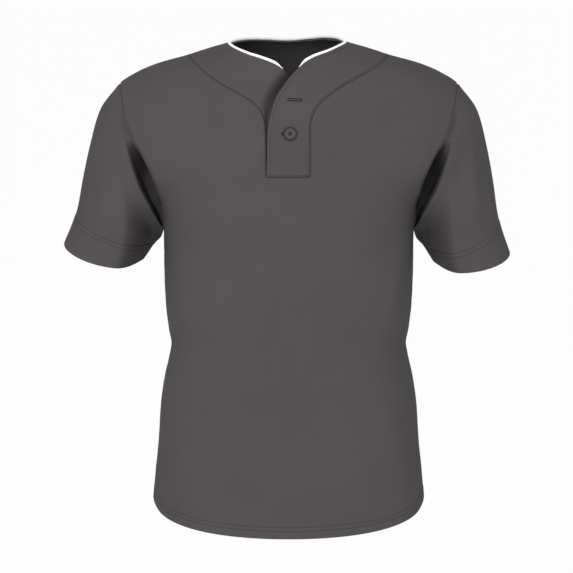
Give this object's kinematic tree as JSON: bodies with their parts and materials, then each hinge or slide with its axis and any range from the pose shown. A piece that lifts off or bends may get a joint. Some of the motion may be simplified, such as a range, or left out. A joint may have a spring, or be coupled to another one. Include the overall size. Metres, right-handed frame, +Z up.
{
  "type": "short-sleeved baseball jersey",
  "caption": "Short-sleeved baseball jersey filled out as if worn, with front yokes that run into a buttoned placket, piping round the neck and a shirt-tail hem.",
  "frame": {"origin": "middle of the neck, level with the neck ends of the shoulder seams", "axes": "+Z up, +X towards the wearer's left, -Y towards the front"},
  "size_m": [0.6689, 0.2465, 0.7333],
  "materials": {
    "jersey_knit": "charcoal grey polyester knit, matt with a faint sheen",
    "piping": "white cord in a woven strip, matt",
    "button": "dark grey four-hole polyester button, satin"
  },
  "bodies": {
    "root": {"front_panel": "jersey_knit", "back_panel": "jersey_knit", "yoke_right": "jersey_knit", "yoke_left": "jersey_knit", "sleeve_right": "jersey_knit", "sleeve_left": "jersey_knit", "neck_piping": "piping", "button_lower": "button", "button_upper": "button"}
  },
  "joints": []
}
